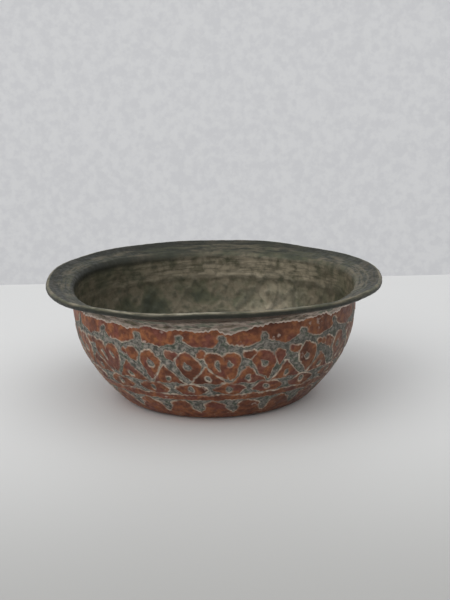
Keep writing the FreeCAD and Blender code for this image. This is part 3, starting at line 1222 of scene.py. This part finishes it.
@dataclass
class TinOverrun:
    """Tin under the lip and down the neck outside, to the wavy line where it froze.

    The line is given as azimuths in degrees and lengths down the wall.
    """

    section: BowlSection
    raising: HandRaising
    thickness: float = 0.3
    line: tuple[tuple[float, float], ...] = (
        (-180, 2.2), (-166, 3.1), (-150, 1.6), (-137, 2.7), (-121, 1.4), (-108, 3.3), (-95, 2.1), (-83, 3.0),
        (-70, 1.8), (-60, 3.1), (-56, 2.6), (-48, 2.2), (-44, 2.8), (-41, 1.8), (-37, 2.6), (-35, 3.7),
        (-30, 2.5), (-27.5, 1.3), (-24, 1.1), (-18, 2.4), (-14, 1.2), (-10.5, 2.1), (-7, 3.1), (-2.4, 2.4),
        (0, 1.2), (3.4, 3.7), (6, 4.3), (9, 2.9), (12.4, 2.7), (14.4, 1.3), (17, 1.1), (21, 0.2), (26, 0.0),
        (31.5, 1.2), (41, 1.6), (47, 0.9), (50, 3.2), (58, 2.0), (71, 2.9), (84, 1.2), (99, 2.4), (113, 3.2),
        (128, 1.5), (141, 2.8), (157, 1.9), (170, 3.0), (180, 2.2),
    )

    def build(self, finish: MetalFinish) -> None:
        """Make the run of tin as one skin with a rounded lower edge.

        Args:
            finish: The run tin.
        """
        lip = np.linspace(0.6 - self.section.lip_length, -4, 16)
        lengths = np.concatenate([lip, np.linspace(-3.6, 0, 26)])
        skin = Skin("tin_overrun", len(lengths) + 2)
        rounds = np.clip(skin.row - (len(lengths) - 1), 0, 2)
        azimuth = skin.azimuth
        turns, drops = np.array(self.line).T
        reach = np.interp(np.degrees(azimuth), turns, drops) + 0.3 * Ripple(51, 9.0)(azimuth, 0 * azimuth)
        reach = reach + 0.16 * Ripple(52, 2.6)(azimuth, 0 * azimuth)
        level = np.interp(skin.row, np.arange(len(lengths)), lengths)
        length = level + (reach + 0.4) * smooth(-4, 0, level) + 0.12 * rounds
        streaks = 0.11 * Ripple(53, 1.8, 5.0)(azimuth, length) + 0.05 * Ripple(54, 2.5)(azimuth, length)
        to_edge = reach + 0.4 - length
        rim = 0.12 * np.exp(-(((to_edge - 0.5) / 0.45) ** 2))
        depth = -self.thickness - streaks * smooth(0, 1.2, to_edge) - rim + rounds * (self.thickness * 0.7)
        radius, height = self.section.place(length, depth + self.raising.dents(azimuth, length))
        skin.shape(*self.raising.settle(azimuth, radius, height))
        streak_edge = smooth(0.5, 1.3, Ripple(55, 2.4, 7.0)(azimuth, length)) * smooth(-2.5, -1.0, length)
        skin.mark("edge", np.maximum(smooth(1.3, 0.4, to_edge), 0.55 * streak_edge))
        # Painted shade under the lip, from the neck bend up.
        skin.mark("dark_and_shade", smooth(-1.2, -4.0, length))
        skin.mark("down", length * MM)
        skin.finish(finish.make(), finish.slot, ("tin_overrun",))


@dataclass
class RimWire:
    """The wire inside the rolled edge."""

    section: BowlSection
    raising: HandRaising
    sides: int = 16

    def build(self, finish: MetalFinish) -> None:
        """Make the closed ring.

        Args:
            finish: The iron.
        """
        turns = np.linspace(0, 360, self.sides + 1)
        skin = Skin("rim_wire", len(turns), 36, 5)
        radius, height = self.section.round_bead(skin.values(turns), self.section.wire_radius - 0.02)
        skin.shape(*self.raising.settle(skin.azimuth, radius, height))
        skin.finish(finish.make(), finish.slot, ("rim_wire",))


@dataclass(frozen=True)
class Studio:
    """Pale floor, soft light and the camera, in millimetres and degrees."""

    distance: float = 755.0
    eye_height: float = 253.0
    pitch: float = 14.69
    roll: float = -1.23
    pan: float = -0.485
    focal_length: float = 78.0
    table_depth: float = 1600.0
    table_width: float = 4000.0
    # Painted shade on the table: where it starts, and how strong it is at the front.
    shade_from: float = -340.0
    shade_share: float = 0.75
    table_back: float = 275.0
    wall_back: float = 2200.0
    wall_size: float = 8000.0

    def camera(self) -> None:
        """Place the camera."""
        data = bpy.data.cameras.new("camera")
        data.lens = self.focal_length
        data.sensor_width = 36.0
        data.clip_start = 0.01
        data.clip_end = 50.0
        camera = bpy.data.objects.new("camera", data)
        bpy.context.scene.collection.objects.link(camera)
        turned = Matrix.Rotation(math.radians(self.pan), 4, "Z")
        turned @= Matrix.Rotation(math.radians(90 - self.pitch), 4, "X")
        turned @= Matrix.Rotation(math.radians(self.roll), 4, "Z")
        camera.matrix_world = Matrix.Translation((0, -self.distance * MM, self.eye_height * MM)) @ turned
        bpy.context.scene.camera = camera

    def sheet(self, name: str, matrix: Matrix, finish: bpy.types.Material) -> None:
        """Set up a flat sheet of the backdrop.

        Args:
            name: Name of the sheet.
            matrix: Where it stands, and its half sizes.
            finish: Its material.
        """
        bm = bmesh.new()
        bmesh.ops.create_grid(bm, x_segments=8, y_segments=8, size=1.0, matrix=matrix)
        mesh = bpy.data.meshes.new(name)
        bm.to_mesh(mesh)
        bm.free()
        mesh.materials.append(finish)
        sheet = bpy.data.objects.new(name, mesh)
        bpy.context.scene.collection.objects.link(sheet)
        sheet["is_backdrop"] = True

    def finish(
        self, name: str, tone: Grain, first: str, last: str, roughness: float, dull_and_shade: bool,
    ) -> bpy.types.Material:
        """Make a pale matt material of two close tones.

        Args:
            name: Name of the material.
            tone: Grain that chooses between the tones.
            first: One tone.
            last: The other tone.
            roughness: Roughness of the surface.
            dull_and_shade: True for tones that run softly together, with painted shade that grows towards the
                front.

        Returns:
            The material.
        """
        nodes = Nodes(name)
        share = nodes.swell(tone) if dull_and_shade else nodes.strength(tone)
        tones = {0: share, 6: linear(first), 7: linear(last)}
        colour = nodes.add("Mix", tones, data_type="RGBA").outputs[2]
        if dull_and_shade:
            # Painted shade: the board darkens towards the front, where the light falls off.
            depth = nodes.add("SeparateXYZ", {"Vector": nodes.place}).outputs["Y"]
            reach = {"Value": depth, 1: self.shade_from * MM, 2: 0.0, 3: self.shade_share, 4: 0.0}
            share = nodes.add("MapRange", reach, interpolation_type="SMOOTHSTEP").outputs["Result"]
            colour = nodes.add("Mix", {0: share, 6: colour, 7: linear("94938f")}, data_type="RGBA").outputs[2]
        shader = nodes.add("BsdfPrincipled", {"Base Color": colour, "Roughness": roughness})
        nodes.add("OutputMaterial", {"Surface": shader.outputs["BSDF"]})
        return nodes.material

    def table(self) -> None:
        """Lay the pale table top."""
        board = self.finish("pale_painted_board", Grain(300, 2), "d7d7d6", "dededc", 0.55, True)
        middle = Matrix.Translation((0, (self.table_back - self.table_depth) * MM, 0))
        half = Matrix.Diagonal((self.table_width / 2 * MM, self.table_depth * MM, 1, 1))
        self.sheet("table", middle @ half, board)

    def wall(self) -> None:
        """Stand the pale wall well behind the table."""
        cloth = self.finish("pale_woven_wall", Grain(17, 4, 0.35, 0.65), "cfcfd0", "d7d7d7", 0.8, False)
        upright = Matrix.Translation((0, self.wall_back * MM, 0)) @ Matrix.Rotation(math.pi / 2, 4, "X")
        half = self.wall_size / 2 * MM
        self.sheet("wall", upright @ Matrix.Diagonal((half, half, 1, 1)), cloth)

    def lamp(self, name: str, place: tuple[float, float, float], size: float, power: float) -> None:
        """Hang a soft square lamp that faces the bowl.

        Args:
            name: Name of the lamp.
            place: Where it hangs, in metres.
            size: Its side, in metres.
            power: Its power in watts.
        """
        data = bpy.data.lights.new(name, "AREA")
        data.size = size
        data.energy = power
        lamp = bpy.data.objects.new(name, data)
        bpy.context.scene.collection.objects.link(lamp)
        back = Vector(place) - Vector((0, 0, 0.04))
        lamp.matrix_world = Matrix.Translation(place) @ back.to_track_quat("Z", "Y").to_matrix().to_4x4()

    def build(self) -> None:
        """Set everything round the bowl."""
        self.camera()
        self.table()
        self.wall()
        self.lamp("window", (-1.4, -0.9, 1.5), 2.2, 15.0)
        self.lamp("room", (0.3, -0.5, 1.9), 2.4, 10.0)
        world = bpy.data.worlds.new("room_light")
        world.use_nodes = True
        background = world.node_tree.nodes["Background"]
        background.inputs["Color"].default_value = linear("e3e4e6")
        background.inputs["Strength"].default_value = 1.0
        bpy.context.scene.world = world
        bpy.context.scene.view_settings.view_transform = "Standard"


def main() -> None:
    """Build the bowl and what stands round it."""
    logging.basicConfig(level=logging.INFO, format="%(message)s")
    Studio().build()
    _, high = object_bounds()
    _, high_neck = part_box("knob_fill")
    section = BowlSection(high.x / MM, high.z / MM, high_neck.x / MM)
    sizes = (section.rim_radius, section.height, section.neck_radius)
    LOG.info("section: rim %.2f, height %.2f, neck %.2f", *sizes)
    raising = HandRaising(section)
    band = ChasedBand(section)
    chasing = Chasing()
    CopperShell(section, raising, band, chasing).build(RaisedCopper())
    RecessFills(section, raising, band, chasing).build(RecessTin())
    TinLining(section, raising, band, chasing).build(WipedTin())
    TinOverrun(section, raising).build(RunTin())
    RimWire(section, raising).build(DrawnIron())


if __name__ == "__main__":
    main()
